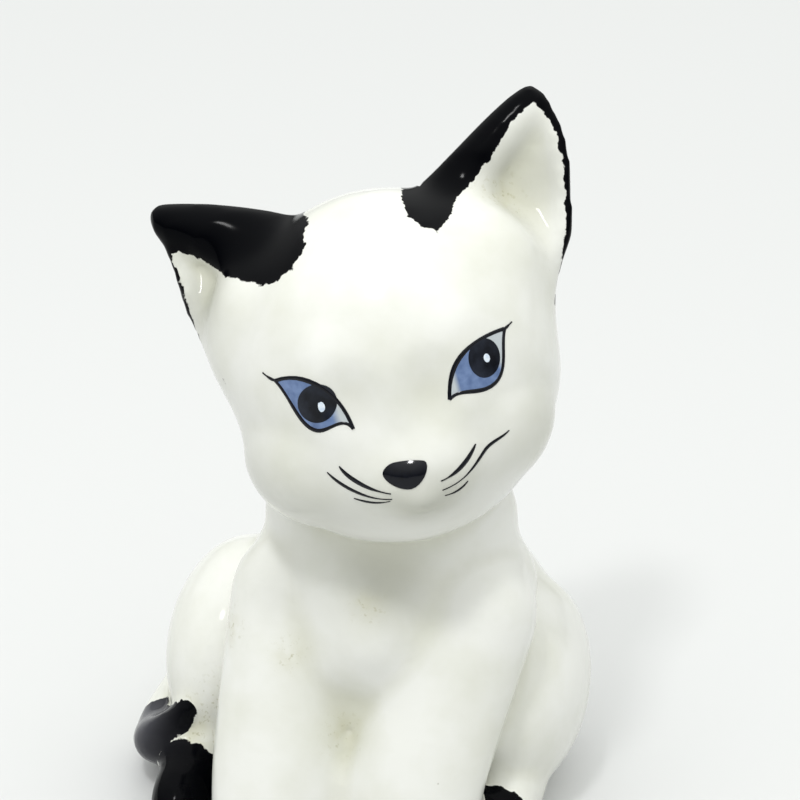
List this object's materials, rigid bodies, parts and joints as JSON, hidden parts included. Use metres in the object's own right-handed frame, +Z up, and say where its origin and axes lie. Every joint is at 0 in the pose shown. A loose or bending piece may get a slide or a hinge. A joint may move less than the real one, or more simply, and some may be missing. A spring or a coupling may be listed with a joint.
{
  "type": "ceramic cat figurine",
  "caption": "Seated kitten figurine in glossy white and black glazed earthenware, head cocked to one side, tail round its haunch; stands free on a flat base.",
  "frame": {"origin": "middle of the footprint's box, on the surface that the figurine stands on", "axes": "+Z up; the kitten's chest faces -Y; its left side is +X"},
  "size_m": [0.0824, 0.0811, 0.1297],
  "materials": {
    "white_glaze": "clear gloss glaze over white earthenware, with pinholes and faint stains in the creases",
    "black_glaze": "blue-black gloss enamel brushed under the glaze, with ragged brush edges",
    "iris_glaze": "powder-blue enamel under the glaze",
    "bare_clay": "dry unglazed foot"
  },
  "bodies": {
    "root": {"head_casting": "white_glaze", "torso_casting": "white_glaze", "left_foreleg": "white_glaze", "right_foreleg": "white_glaze", "left_haunch": "white_glaze", "right_haunch": "white_glaze", "left_ear": "black_glaze", "right_ear": "black_glaze", "tail": "black_glaze"}
  },
  "joints": []
}
